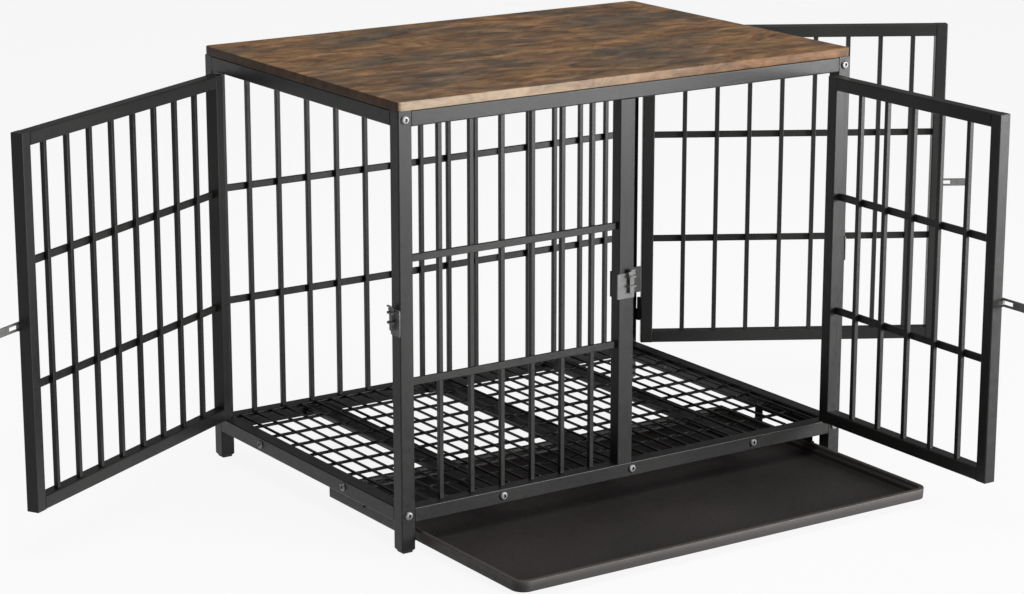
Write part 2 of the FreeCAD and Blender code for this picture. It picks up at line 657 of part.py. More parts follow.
hinge_pins = new_body("hinge_pins")
side_half = hinge_half(RIGHT_AXIS, ("width / 2", "leaf"), (SIDE_AXIS_Y, "leaf_wide"))
repeat(hinge_pins, side_half, raised, lambda body: mirror(body, "YZ_Plane"))
front_half = hinge_half(FRONT_AXIS, (FRONT_AXIS[0], "leaf_wide"), (f"{FRONT} - leaf", "leaf"))
repeat(hinge_pins, front_half, raised)
finish(hinge_pins)

# ---------------------------------------------------------------- latches
LOOP_IN = "( bolt_wide / 2 + bolt_play )"
BOLT_NEAR = "( keeper_plate + 2 * tongue_gap + tongue_thick )"
LOOP_OUT = f"( {BOLT_NEAR} + bolt_thick + bolt_play )"
STAPLES = ("latch_height - staple_tall / 2", "latch_height - staple_tall / 2 + guide_rise")
HEAD_LOW = "( latch_height + staple_tall / 2 + guide_rise + slip )"


def latch(name, plate_from, plate_wide, x, y, turn):
    """Keeper plate with its staple and guide, and the drop bolt that hangs in them.

    Drawn round the bolt's middle, with -Y away from the post."""
    keeper = new_body(f"{name}_latch_keeper")
    block(keeper, (plate_from, plate_wide), ("0 - keeper_plate", "keeper_plate"),
          ("latch_height - keeper_tall / 2", "keeper_tall"))
    for level in STAPLES:
        loop = section(keeper, "Z", level)
        far, near = f"0 - {LOOP_OUT}", "0 - keeper_plate"
        edge = f"{LOOP_IN} + staple_wire"
        outline(loop, [(f"0 - {LOOP_IN}", near), (f"0 - ( {edge} )", near),
                       (f"0 - ( {edge} )", f"{far} - staple_wire"), (edge, f"{far} - staple_wire"),
                       (edge, near), (LOOP_IN, near), (LOOP_IN, far), (f"0 - {LOOP_IN}", far)])
        extrude(keeper, loop, "Z", "staple_tall")
    place(keeper, x, y, "0", turn)
    finish(keeper)

    bolt = new_body(f"{name}_latch_bolt")
    back, front = f"0 - {BOLT_NEAR}", f"0 - {BOLT_NEAR} - bolt_thick"
    low, top = "latch_height - bolt_below", f"{HEAD_LOW} + head_tall"
    block(bolt, ("0 - bolt_wide / 2", "bolt_wide"), (front, "bolt_thick"), (low, f"{top} - ( {low} )"))
    block(bolt, ("0 - bolt_head / 2", "bolt_head"), (front, "bolt_thick"), (HEAD_LOW, "head_tall"))
    thumb = section(bolt, "X", "0 - bolt_wide / 2")
    quarter_bend(thumb, f"{front} - curl + bolt_thick / 2", top, "curl - bolt_thick / 2",
                 "curl + bolt_thick / 2")
    extrude(bolt, thumb, "X", "bolt_wide")
    place(bolt, x, y, "0", turn)
    finish(bolt)


POST_STAPLE_Y = f"{INNER_FRONT} - staple_set"
latch("front", "staple_set - keeper_wide", "keeper_wide", "0 - staple_set", FRONT, "0")
latch("left", "0 - staple_set", "keeper_side_wide", LEFT, POST_STAPLE_Y, "0 - 90")
latch("right", "staple_set - keeper_side_wide", "keeper_side_wide", "width / 2", POST_STAPLE_Y, "90")

front_door_stop = new_body("front_door_stop")
block(front_door_stop, ("0 - mid_width", "mid_width + stop_reach"),
      (f"{FRONT} + mid_depth", "stop_thick"), ("latch_height - keeper_tall / 2", "keeper_tall"))
finish(front_door_stop)

# ---------------------------------------------------------------- screws of the frame
frame_screws = new_body("frame_screws")


def screw(axis, at, face_at, grip):
    """Button-head screw at the low level. It enters a face towards the axis's positive end."""
    rings = []
    for wide, level in (("head_wide", face_at), ("head_flat", f"{face_at} - head_high")):
        ring = section(frame_screws, axis, level)
        polygon(ring, at, "screw_low", f"{wide} / 2", HEAD_SIDES)
        rings.append(ring)
    head = frame_screws.newObject("PartDesign::AdditiveLoft", "Head")
    head.Profile = rings[0]
    head.Sections = rings[1:]
    head.Ruled = True
    frame_screws.Tip = head
    shank = section(frame_screws, axis, face_at)
    polygon(shank, at, "screw_low", "screw / 2", SHANK_SIDES)
    return [head, extrude(frame_screws, shank, axis, grip)]


corner_screw = screw("Y", f"{LEFT} + tube / 2", FRONT, "tube + end_plate - slip")
repeat(frame_screws, corner_screw, lambda b: row(b, "X", "width - tube", "2"),
       lambda b: row(b, "Z", f"{SCREW_HIGH} - screw_low", "2"), lambda b: mirror(b, "XZ_Plane"))
strap_screw = screw("Y", "( 0 - strap_pitch )", FRONT, "tube + strap_end - slip")
repeat(frame_screws, strap_screw, lambda b: row(b, "X", "2 * strap_pitch", "3"),
       lambda b: mirror(b, "XZ_Plane"))
ledger_screw = screw("X", "( 0 - ledger_front )", LEFT, "tube + ledger - slip")
repeat(frame_screws, ledger_screw, lambda b: row(b, "Y", "ledger_front + ledger_back", "2"),
       lambda b: mirror(b, "YZ_Plane"))
finish(frame_screws)

# ---------------------------------------------------------------- check and export
sheet.clear(SCRATCH)
doc.recompute()
os.makedirs("parts", exist_ok=True)
for item in doc.Objects:
    if "Invalid" in item.State or "Error" in item.State:
        raise RuntimeError(f"{item.Name} did not compute")
for node in nodes:
    if node.Shape.isNull() or not node.Shape.isValid():
        raise RuntimeError(f"{node.Label} has no valid shape")
for node in nodes:
    node.Shape.exportStep(f"parts/{node.Label}.step")
    box = node.Shape.BoundBox
    print(f"{node.Label:30s} {len(node.Shape.Solids):3d} solids {box.XMin:8.1f} {box.XMax:8.1f} "
          f"{box.YMin:8.1f} {box.YMax:8.1f} {box.ZMin:7.1f} {box.ZMax:7.1f}")
print(len(nodes), "nodes")
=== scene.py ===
# %% [markdown]
# # A dog crate that is also an end table
#
# The measured parts of the crate come in as a fixed frame: posts, rails, doors, latches, floor
# grate and tray. This lesson dresses that frame. It gives every part a finish, rebuilds the
# parts whose edges and bends have to be round, and sets up the floor, the light and the camera.
# Everything is in metres, X to the right along the front, Y to the back, Z up.

# %% Load the frame
import json
import math
import bmesh
import bpy
from mathutils import Matrix, Vector


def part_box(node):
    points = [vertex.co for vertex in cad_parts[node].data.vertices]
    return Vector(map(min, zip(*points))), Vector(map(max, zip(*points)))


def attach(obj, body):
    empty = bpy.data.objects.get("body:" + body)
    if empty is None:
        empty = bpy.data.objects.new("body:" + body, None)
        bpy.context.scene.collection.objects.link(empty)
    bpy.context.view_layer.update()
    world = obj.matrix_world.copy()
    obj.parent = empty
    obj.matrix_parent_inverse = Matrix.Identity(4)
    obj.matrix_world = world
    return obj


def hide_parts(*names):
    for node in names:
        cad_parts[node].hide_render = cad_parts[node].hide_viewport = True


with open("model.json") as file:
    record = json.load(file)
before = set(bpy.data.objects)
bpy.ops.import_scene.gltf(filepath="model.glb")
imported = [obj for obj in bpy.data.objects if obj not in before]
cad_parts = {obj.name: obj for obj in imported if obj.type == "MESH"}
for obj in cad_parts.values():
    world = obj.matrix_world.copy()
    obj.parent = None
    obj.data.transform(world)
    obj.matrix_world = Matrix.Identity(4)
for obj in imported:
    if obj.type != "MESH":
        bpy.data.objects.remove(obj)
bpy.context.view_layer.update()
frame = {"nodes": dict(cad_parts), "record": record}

record = frame["record"]
nodes = frame["nodes"]
slot_of = {part["node"]: part["material_slot"] for part in record["subparts"]}

# %% [markdown]
# ## The camera
#
# A product photograph of this kind is taken from well above the floor with a long lens, so that
# upright posts stay nearly upright. The position and the lens below were found by matching the
# corners of the crate to the picture: the camera looks down by about 15 degrees and stands to the
# left of the crate. A camera is turned by Euler angles: X tips it down from the horizon, and Z
# swings it round.

# %% Camera
CAMERA_PLACE = (-2.7001, -3.9817, 1.5460)
CAMERA_DOWN = math.radians(14.624)
CAMERA_SWING = math.radians(-33.84)
CAMERA_LENS = 100.76                      # millimetres, on a sensor that is 36 mm wide

camera_data = bpy.data.cameras.new("camera")
camera_data.lens = CAMERA_LENS
camera_data.sensor_width = 36.0
camera_data.sensor_fit = "HORIZONTAL"
camera_data.clip_end = 100.0
camera = bpy.data.objects.new("camera", camera_data)
camera.location = CAMERA_PLACE
camera.rotation_euler = (math.pi / 2 - CAMERA_DOWN, 0.0, CAMERA_SWING)
bpy.context.scene.collection.objects.link(camera)
bpy.context.scene.camera = camera
print("camera at", CAMERA_PLACE, "lens", CAMERA_LENS, "mm")

# %% [markdown]
# ## Small helpers for node trees
#
# A material is a graph of nodes. Writing `tree.nodes.new` and `tree.links.new` for each of them
# hides what the graph does, so two short helpers add a node with its settings and its inputs in
# one line. An input is either a number, a colour or the output socket of another node.

# %% Node helpers
def add(tree, kind, inputs=None, **settings):
    """Add a node, set its properties, and fill or connect its inputs by name or number."""
    node = tree.nodes.new(kind)
    for name, setting in settings.items():
        setattr(node, name, setting)
    for name, source in (inputs or {}).items():
        if isinstance(source, bpy.types.NodeSocket):
            tree.links.new(source, node.inputs[name])
        else:
            node.inputs[name].default_value = source
    return node


def ramp(tree, factor, stops):
    """Colour ramp through (position, (r, g, b)) stops."""
    node = add(tree, "ShaderNodeValToRGB", {"Fac": factor})
    elements = node.color_ramp.elements
    while len(elements) < len(stops):
        elements.new(0.5)
    for element, (position, colour) in zip(elements, stops):
        element.position = position
        element.color = (*colour, 1.0)
    return node.outputs["Color"]


def spread(tree, value, low, high, from_low=0.0, from_high=1.0):
    """Map a value from one range to another."""
    node = add(tree, "ShaderNodeMapRange", {"Value": value, "From Min": from_low,
                                            "From Max": from_high, "To Min": low, "To Max": high})
    return node.outputs["Result"]


def blend_colours(tree, factor, first, second, mode="MIX"):
    """Mix two colours."""
    node = add(tree, "ShaderNodeMix", data_type="RGBA", blend_type=mode)
    for socket, source in (("Factor_Float", factor), ("A_Color", first), ("B_Color", second)):
        target = next(s for s in node.inputs if s.identifier == socket)
        if isinstance(source, bpy.types.NodeSocket):
            tree.links.new(source, target)
        else:
            target.default_value = source
    return next(s for s in node.outputs if s.identifier == "Result_Color")


def group(name, inputs, outputs):
    """Empty shader node group with named sockets. Gives the tree and its two end nodes."""
    tree = bpy.data.node_groups.new(name, "ShaderNodeTree")
    for label, kind, default in inputs:
        socket = tree.interface.new_socket(label, in_out="INPUT", socket_type=kind)
        socket.default_value = default
    for label, kind in outputs:
        tree.interface.new_socket(label, in_out="OUTPUT", socket_type=kind)
    return tree, add(tree, "NodeGroupInput"), add(tree, "NodeGroupOutput")


def material(name):
    """New material with its Principled shader."""
    made = bpy.data.materials.new(name)
    made.use_nodes = True
    return made, made.node_tree, made.node_tree.nodes["Principled BSDF"]


def finish_shader(tree, shader, colour, roughness, height, strength, distance, mirror=0.5):
    """Wire colour, roughness and relief to a Principled shader; mirror is its specular level."""
    tree.links.new(colour, shader.inputs["Base Color"])
    tree.links.new(roughness, shader.inputs["Roughness"])
    bump = add(tree, "ShaderNodeBump", {"Height": height, "Strength": strength,
                                        "Distance": distance})
    tree.links.new(bump.outputs["Normal"], shader.inputs["Normal"])
    shader.inputs["Specular IOR Level"].default_value = mirror


# %% [markdown]
# ## Two effects that several finishes share
#
# **Orange peel** is the fine, wavy skin of powder coat and of moulded plastic. **Handling** is
# the slow change from place to place that no real surface lacks: a little dust, a little polish
# from hands. Each is built once as a node group, and each material sets its own sizes.
# Object coordinates keep the pattern fixed to the part when a door swings. The helper `mottled`
# puts both into a new material, because all finishes but the wood use them in the same way.

# %% Shared node groups
FINE_PER_METRE = 90.0                      # scale of the handling's fine noise
NOISE_LOW, NOISE_HIGH = 0.3, 0.7           # most values of a noise lie between these

peel_group, peel_in, peel_out = group(
    "Orange peel",
    [("Waves per metre", "NodeSocketFloat", 400.0), ("Grit", "NodeSocketFloat", 0.3)],
    [("Height", "NodeSocketFloat")])
peel_place = add(peel_group, "ShaderNodeTexCoord").outputs["Object"]
peel_waves = add(peel_group, "ShaderNodeTexNoise",
                 {"Vector": peel_place, "Scale": peel_in.outputs["Waves per metre"],
                  "Detail": 2.0, "Roughness": 0.5})
peel_fine = add(peel_group, "ShaderNodeMath",
                {0: peel_in.outputs["Waves per metre"], 1: 4.0}, operation="MULTIPLY")
peel_grit = add(peel_group, "ShaderNodeTexNoise",
                {"Vector": peel_place, "Scale": peel_fine.outputs["Value"], "Detail": 1.0})
peel_share = add(peel_group, "ShaderNodeMath",
                 {0: peel_grit.outputs["Fac"], 1: peel_in.outputs["Grit"]}, operation="MULTIPLY")
peel_sum = add(peel_group, "ShaderNodeMath",
               {0: peel_waves.outputs["Fac"], 1: peel_share.outputs["Value"]}, operation="ADD")
peel_group.links.new(peel_sum.outputs["Value"], peel_out.inputs["Height"])

handling_group, handling_in, handling_out = group(
    "Handling",
    [("Patches per metre", "NodeSocketFloat", 6.0)],
    [("Mask", "NodeSocketFloat"), ("Fine", "NodeSocketFloat")])
handling_place = add(handling_group, "ShaderNodeTexCoord").outputs["Object"]
handling_patches = add(handling_group, "ShaderNodeTexNoise",
                       {"Vector": handling_place, "Detail": 4.0, "Roughness": 0.55,
                        "Scale": handling_in.outputs["Patches per metre"]})
handling_fine = add(handling_group, "ShaderNodeTexNoise",
                    {"Vector": handling_place, "Scale": FINE_PER_METRE, "Detail": 4.0,
                     "Roughness": 0.6})
handling_mask = spread(handling_group, handling_patches.outputs["Fac"], 0.0, 1.0, 0.35, 0.65)
handling_group.links.new(handling_mask, handling_out.inputs["Mask"])
handling_group.links.new(handling_fine.outputs["Fac"], handling_out.inputs["Fine"])
print("node groups:", [tree.name for tree in bpy.data.node_groups])


def placed(tree, source, inputs):
    """Put a node group into a material with its own values."""
    node = add(tree, "ShaderNodeGroup", node_tree=source)
    for name, setting in inputs.items():
        node.inputs[name].default_value = setting
    return node


def mottled(name, patches, waves, grit, dark, light, rough):
    """New material with both effects: itself, its tree and shader, colour, roughness, relief."""
    made, tree, shader = material(name)
    handling = placed(tree, handling_group, {"Patches per metre": patches})
    peel = placed(tree, peel_group, {"Waves per metre": waves, "Grit": grit})
    colour = blend_colours(tree, handling.outputs["Mask"], (*dark, 1.0), (*light, 1.0))
    roughness = spread(tree, handling.outputs["Fine"], *rough, NOISE_LOW, NOISE_HIGH)
    return made, tree, shader, colour, roughness, peel.outputs["Height"]


# %% [markdown]
# ## Black powder coat
#
# The steel is coated with a satin black powder. Black paint is never pure black: the base colour
# is a dark grey, and most of what the eye reads comes from its broad, soft reflection. So the
# roughness matters more than the colour here. The handling mask moves both a little, and the
# orange peel breaks the reflection up.

# %% Powder coat
powder, tree, shader, colour, rough, skin = mottled(
    "powder_coat_black", patches=5.0, waves=420.0, grit=0.25,
    dark=(0.010, 0.010, 0.010), light=(0.018, 0.018, 0.017), rough=(0.30, 0.42))
finish_shader(tree, shader, colour, rough, skin, 0.22, 0.0005, mirror=0.24)
print(powder.name, "has", len(tree.nodes), "nodes")

# %% [markdown]
# ## Rustic wood for the top
#
# The top is a board with a printed or veneered rustic grain that runs along the crate. Three
# sizes of pattern make it: wide dark and grey patches, streaks that are much longer than wide,
# and fine fibres. All three are noise whose coordinates are squeezed along the grain, so that
# the noise itself comes out stretched. The edges of the board have a strip with the same grain,
# told apart by the direction that the surface faces. The long edges carry painted light: they are
# painted pale at the left end, as a highlight, and turn darker and warm towards the right. The
# short edges are painted dark, as shade.

# %% Wood
GREY_PATCHES = (0.42, 0.60)                # patch noise, from all brown to all grey
FIBRE_SHARE = 0.85                         # how much the fibres tint the wood
# Painted light on the long edges: a painted highlight at the first X, darker and warm at the
# second.
PAINTED_LIGHT_TURNS = (-0.25, 0.22)                # X at which the long strip is pale, and is warm
SHORT_EDGE = (0.55, 0.85)                  # sideways part of the normal, long to short edge
EDGE_TO_TOP = (0.45, 0.75)                 # upward part of the normal, edge to top

wood, tree, shader = material("rustic_wood")
wood_place = add(tree, "ShaderNodeTexCoord").outputs["Object"]


def along_grain(scale, **settings):
    """Noise that is stretched along X by the scale given for each axis."""
    squeezed = add(tree, "ShaderNodeMapping", {"Vector": wood_place, "Scale": scale})
    inputs = {"Vector": squeezed.outputs["Vector"], "Scale": 1.0, "Detail": 5.0,
              "Roughness": 0.55, "Distortion": 0.0}
    inputs.update(settings)
    return add(tree, "ShaderNodeTexNoise", inputs).outputs["Fac"]


patches = along_grain((4.0, 10.0, 10.0), Detail=5.0, Roughness=0.62, Distortion=0.6)
streaks = along_grain((13.0, 30.0, 30.0), Detail=8.0, Roughness=0.70, Distortion=0.7)
fibres = along_grain((40.0, 380.0, 380.0), Detail=3.0)
wood_brown = ramp(tree, streaks, [
    (0.32, (0.060, 0.030, 0.014)), (0.44, (0.125, 0.066, 0.030)),
    (0.54, (0.205, 0.110, 0.048)), (0.66, (0.330, 0.185, 0.086))])
wood_grey = ramp(tree, streaks, [
    (0.32, (0.034, 0.025, 0.018)), (0.50, (0.085, 0.061, 0.042)),
    (0.68, (0.160, 0.108, 0.068))])
patch_mask = spread(tree, patches, 0.0, 1.0, *GREY_PATCHES)
wood_body = blend_colours(tree, patch_mask, wood_brown, wood_grey)
fibre_tone = ramp(tree, fibres, [(0.30, (0.80, 0.78, 0.76)), (0.65, (1.06, 1.06, 1.06))])
wood_surface = blend_colours(tree, FIBRE_SHARE, wood_body, fibre_tone, "MULTIPLY")

long_place = add(tree, "ShaderNodeSeparateXYZ", {"Vector": wood_place}).outputs["X"]
# Painted light: the long edges are painted pale at the left end, as a highlight, and darker and
# warm towards the right.
painted_highlight_strip = ramp(tree, streaks, [(0.32, (0.185, 0.125, 0.080)), (0.62, (0.37, 0.28, 0.195))])
warm_strip = ramp(tree, streaks, [(0.36, (0.035, 0.016, 0.007)), (0.62, (0.210, 0.100, 0.036))])
along = spread(tree, long_place, 0.0, 1.0, *PAINTED_LIGHT_TURNS)
strip = blend_colours(tree, along, painted_highlight_strip, warm_strip)
# Painted shade: the short edges of the board are painted dark.
painted_shade_strip = ramp(tree, streaks, [(0.35, (0.026, 0.014, 0.008)), (0.65, (0.095, 0.052, 0.027))])
facing = add(tree, "ShaderNodeNewGeometry").outputs["Normal"]
facing_parts = add(tree, "ShaderNodeSeparateXYZ", {"Vector": facing})
sideways = add(tree, "ShaderNodeMath", {0: facing_parts.outputs["X"]}, operation="ABSOLUTE")
is_short = spread(tree, sideways.outputs["Value"], 0.0, 1.0, *SHORT_EDGE)
edge_colour = blend_colours(tree, is_short, strip, painted_shade_strip)
is_edge = spread(tree, facing_parts.outputs["Z"], 1.0, 0.0, *EDGE_TO_TOP)
wood_colour = blend_colours(tree, is_edge, wood_surface, edge_colour)
wood_rough = spread(tree, fibres, 0.50, 0.66, NOISE_LOW, NOISE_HIGH)
finish_shader(tree, shader, wood_colour, wood_rough, fibres, 0.18, 0.0005, mirror=0.25)
print(wood.name, "has", len(tree.nodes), "nodes")

# %% [markdown]
# ## Tray, feet, screws and latches
#
# The tray and the feet are moulded plastic: no metal, a duller reflection, and a fine grain from
# the mould. The top of the tray's rim is painted a little lighter as a highlight, which goes by
# height. The screws are zinc-plated steel, so they are metallic and their colour is the colour of
# their reflection. Their sockets look dark by themselves, because they are deep. The latches and
# the tongues of the doors are a lighter grey than the frame, so they have a finish of their own.

# %% Plastics, zinc and latch steel
RIM_LEVELS = (0.021, 0.0285)               # heights between which the tray turns to the painted highlight tone
RIM_HIGHLIGHT_TONE = (0.050, 0.043, 0.040, 1.0)

tray_plastic, tree, shader, colour, rough, skin = mottled(
    "tray_plastic", patches=4.0, waves=900.0, grit=0.6,
    dark=(0.018, 0.015, 0.014), light=(0.025, 0.021, 0.020), rough=(0.46, 0.60))
tray_place = add(tree, "ShaderNodeTexCoord").outputs["Object"]
tray_level = add(tree, "ShaderNodeSeparateXYZ", {"Vector": tray_place}).outputs["Z"]
# Painted highlight: the top of the tray's rim is painted lighter, going by height.
rim_highlight = spread(tree, tray_level, 0.0, 1.0, *RIM_LEVELS)
colour = blend_colours(tree, rim_highlight, colour, RIM_HIGHLIGHT_TONE)
finish_shader(tree, shader, colour, rough, skin, 0.25, 0.0004, mirror=0.35)

foot_plastic, tree, shader, colour, rough, skin = mottled(
    "foot_plastic", patches=20.0, waves=1200.0, grit=0.5,
    dark=(0.012, 0.012, 0.012), light=(0.022, 0.022, 0.021), rough=(0.50, 0.66))
finish_shader(tree, shader, colour, rough, skin, 0.2, 0.0003)

zinc, tree, shader, colour, rough, skin = mottled(
    "zinc_plated_steel", patches=120.0, waves=2500.0, grit=0.4,
    dark=(0.15, 0.15, 0.15), light=(0.25, 0.25, 0.25), rough=(0.46, 0.60))
finish_shader(tree, shader, colour, rough, skin, 0.08, 0.0002)
shader.inputs["Metallic"].default_value = 1.0

latch_steel, tree, shader, colour, rough, skin = mottled(
    "latch_steel", patches=60.0, waves=1400.0, grit=0.4,
    dark=(0.075, 0.075, 0.074), light=(0.120, 0.120, 0.117), rough=(0.34, 0.50))
finish_shader(tree, shader, colour, rough, skin, 0.1, 0.0002)

FINISHES = {"black_steel": powder, "wood_top": wood, "tray_plastic": tray_plastic,
            "foot_plastic": foot_plastic, "screw_steel": zinc}
for name, part in nodes.items():
    finish = latch_steel if name.endswith("latch_tongue") else FINISHES[slot_of[name]]
    part.data.materials.clear()
    part.data.materials.append(finish)
print("materials:", sorted(made.name for made in bpy.data.materials))

# %% [markdown]
# ## Shapes made of rings
#
# The parts that are made anew have soft edges that catch the light: the eased edge of the board,
# the rolled rim of the tray, the domed heads of the screws, and the pads of the feet. They are
# stacks of closed rings with the same number of points, joined by quads. A ring is a rectangle
# with round corners, a circle or a hexagon, and a list of (inset, height) pairs says how the
# rings follow each other. Closing the first and the last ring makes a solid.

# %% Ring helpers
CORNER_STEPS = 10                          # sides of one rounded corner
LEAST_RADIUS = 0.0004                      # a corner stays at least this round when it is inset


def round_rectangle(low, high, inset, radius):
    """Points round a rectangle that lies inset inside two corners, with rounded corners."""
    reach = max(radius - inset, LEAST_RADIUS)
    points = []
    corners = ((high[0], low[1], -1, 1, 270), (high[0], high[1], -1, -1, 0),
               (low[0], high[1], 1, -1, 90), (low[0], low[1], 1, 1, 180))
    for x, y, to_x, to_y, start in corners:
        middle = (x + to_x * (inset + reach), y + to_y * (inset + reach))
        for step in range(CORNER_STEPS + 1):
            turn = math.radians(start + 90 * step / CORNER_STEPS)
            points.append((middle[0] + reach * math.cos(turn),
                           middle[1] + reach * math.sin(turn)))
    return points


def stack(name, rings):
    """Closed mesh from rings of 3D points, each with as many points as the next."""
    build = bmesh.new()
    loops = [[build.verts.new(point) for point in ring] for ring in rings]
    count = len(loops[0])
    for under, over in zip(loops, loops[1:]):
        for i in range(count):
            following = (i + 1) % count
            build.faces.new((under[i], under[following], over[following], over[i]))
    build.faces.new(loops[0][::-1])
    build.faces.new(loops[-1])
    bmesh.ops.recalc_face_normals(build, faces=build.faces)
    mesh = bpy.data.meshes.new(name)
    build.to_mesh(mesh)
    build.free()
    return mesh


def joined(name, meshes):
    """One mesh of several, which are removed."""
    build = bmesh.new()
    for mesh in meshes:
        build.from_mesh(mesh)
        bpy.data.meshes.remove(mesh)
    whole = bpy.data.meshes.new(name)
    build.to_mesh(whole)
    build.free()
    return whole


def show(name, mesh, finish, body, smooth=40.0):
    """Make a piece of a mesh, with its finish, and let it move with a body."""
    mesh.polygons.foreach_set("use_smooth", [True] * len(mesh.polygons))
    mesh.set_sharp_from_angle(angle=math.radians(smooth))
    mesh.materials.append(finish)
    piece = bpy.data.objects.new(name, mesh)
    bpy.context.scene.collection.objects.link(piece)
    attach(piece, body)
    print(name, len(mesh.polygons), "faces on", body)
    return piece


def arc(inset, height, radius, start, end, steps=5):
    """(inset, height) pairs along an arc about a middle, from start to end in degrees."""
    pairs = []
    for step in range(steps + 1):
        turn = math.radians(start + (end - start) * step / steps)
        pairs.append((inset + radius * math.cos(turn), height + radius * math.sin(turn)))
    return pairs


# %% [markdown]
# ## The wooden top
#
# A saw leaves a board with sharp arrises, and a maker eases them by about a millimetre so that
# they don't chip. A bevel modifier could do it; rings do it as well and keep the mesh clean.

# %% Wooden top
EASED = 0.0012                             # radius of the board's arrises
BOARD_CORNER = 0.008
board_low, board_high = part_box("table_top")
profile = (arc(EASED, board_low[2] + EASED, EASED, 270, 180)
           + arc(EASED, board_high[2] - EASED, EASED, 180, 90))
board_rings = [[(x, y, height)
                for x, y in round_rectangle(board_low, board_high, inset, BOARD_CORNER)]
               for inset, height in profile]
board = show("wooden_top", stack("wooden_top", board_rings), wood, "frame", 50.0)
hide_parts("table_top")

# %% [markdown]
# ## The pull-out tray
#
# The tray is a moulding with one wall thickness: the rim is hollow underneath, and every corner
# of its section is round, because plastic can't be moulded round a sharp one. The pairs below go
# once round the section, from the middle of the underside out to the rim and back in to the
# middle of the floor inside. Insets count from the outer edge.

# %% Tray
TRAY_CORNER = 0.022
SKIN = 0.0025                              # wall of the moulding
RIM, STEP, STEP_DEEP = 0.009, 0.007, 0.006
SOFT = 0.0016                              # radius of the moulded corners
LIP_SOFT, LIP_START = 0.0006, 0.0004       # foot of the rim's outer wall: radius, inner start
FLAT_UNDER, FLAT_INSIDE = 0.004, 0.012     # first and last ring, inward from the floor's edge
tray_low, tray_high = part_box("tray")
tray_tall = tray_high[2] - tray_low[2]
floor_edge = RIM + STEP
step_level = tray_tall - STEP_DEEP
hollow_top = step_level - SKIN
profile = (
    [(floor_edge + FLAT_UNDER, 0.0)]
    + arc(floor_edge - SKIN + SOFT, SOFT, SOFT, 270, 180, 3)
    + [(floor_edge - SKIN, hollow_top), (SKIN, hollow_top), (SKIN, LIP_START)]
    + arc(SKIN / 2, LIP_SOFT, LIP_SOFT, 300, 240, 2)
    + arc(SOFT, tray_tall - SOFT, SOFT, 180, 90, 4)
    + arc(RIM - SOFT, tray_tall - SOFT, SOFT, 90, 0, 4)
    + arc(RIM + SOFT, step_level + SOFT, SOFT, 180, 270, 3)
    + arc(floor_edge - SOFT, step_level - SOFT, SOFT, 90, 0, 3)
    + arc(floor_edge + 2 * SOFT, SKIN + 2 * SOFT, 2 * SOFT, 180, 270, 4)
    + [(floor_edge + FLAT_INSIDE, SKIN)])
tray_rings = [[(x, y, tray_low[2] + height)
               for x, y in round_rectangle(tray_low, tray_high, inset, TRAY_CORNER)]
              for inset, height in profile]
tray = show("pull_out_tray", stack("pull_out_tray", tray_rings), tray_plastic, "tray")
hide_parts("tray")

# %% [markdown]
# ## The screws
#
# Each screw has a domed button head with a hexagon socket. The plain ones of the frame say where
# the screws are and which way they point: every loose island of that mesh is one screw, its
# longest side is its axis, and its head is the end outside the crate. The dome is a stack of
# circles, and the socket goes on with hexagons that have as many points as the circles.

# %% Screws
HEAD_RADIUS, HEAD_HIGH = 0.0072, 0.0033
HEAD_EASE, HEAD_RIM = 0.0003, 0.0008       # eased foot of the head, and height of its upright rim
SOCKET_RADIUS, SOCKET_DEEP = 0.0029, 0.0026
SOCKET_LAND = 0.0012                       # from the socket out to the top of the dome
SHANK_RADIUS, SHANK_EASE = 0.0029, 0.0006
DOME_STEPS, DOME_IN, DOME_UP = 5, 86.8, 89.9   # degrees by which the dome turns in and up
ROUND = 36                                 # points of a circle
SAME_PLACE = 1e-6                          # corners closer than this are one


def ring_of(radius, height, hexagon=False):
    """Circle of ROUND points at a height, or a hexagon with that many points."""
    points = []
    for i in range(ROUND):
        turn = 2 * math.pi * i / ROUND
        reach = radius
        if hexagon:
            reach = radius / math.cos((turn + math.pi / 6) % (math.pi / 3) - math.pi / 6)
        points.append(Vector((reach * math.cos(turn), reach * math.sin(turn), height)))
    return points


def screw_rings(shank_long):
    """Rings of one screw that points down, with the face it seats on at height 0."""
    land = SOCKET_RADIUS + SOCKET_LAND
    rings = [ring_of(SHANK_RADIUS - SHANK_EASE, -shank_long),
             ring_of(SHANK_RADIUS, -shank_long + SHANK_EASE),
             ring_of(SHANK_RADIUS, 0.0), ring_of(HEAD_RADIUS - HEAD_EASE, 0.0),
             ring_of(HEAD_RADIUS, HEAD_EASE), ring_of(HEAD_RADIUS, HEAD_RIM)]
    for step in range(1, DOME_STEPS + 1):
        turn_in, turn_up = (math.radians(turn * step / DOME_STEPS) for turn in (DOME_IN, DOME_UP))
        rings.append(ring_of(land + (HEAD_RADIUS - land) * math.cos(turn_in),
                             HEAD_RIM + (HEAD_HIGH - HEAD_RIM) * math.sin(turn_up)))
    rings += [ring_of(SOCKET_RADIUS, HEAD_HIGH, True),
              ring_of(SOCKET_RADIUS, HEAD_HIGH - SOCKET_DEEP, True)]
    return rings


def box_round(points):
    """Lowest and highest corner of the box round some points."""
    return (Vector([min(point[i] for point in points) for i in range(3)]),
            Vector([max(point[i] for point in points) for i in range(3)]))


def islands(mesh):
    """Corner points of every loose part of a mesh, in order of place."""
    build = bmesh.new()
    build.from_mesh(mesh)
    bmesh.ops.remove_doubles(build, verts=build.verts, dist=SAME_PLACE)
    waiting = set(build.verts)
    found = []
    while waiting:
        edge = [waiting.pop()]
        part = []
        while edge:
            vert = edge.pop()
            part.append(vert.co.copy())
            for link in vert.link_edges:
                other = link.other_vert(vert)
                if other in waiting:
                    waiting.remove(other)
                    edge.append(other)
        found.append(part)
    build.free()
    return sorted(found, key=lambda part: tuple(box_round(part)[0]))


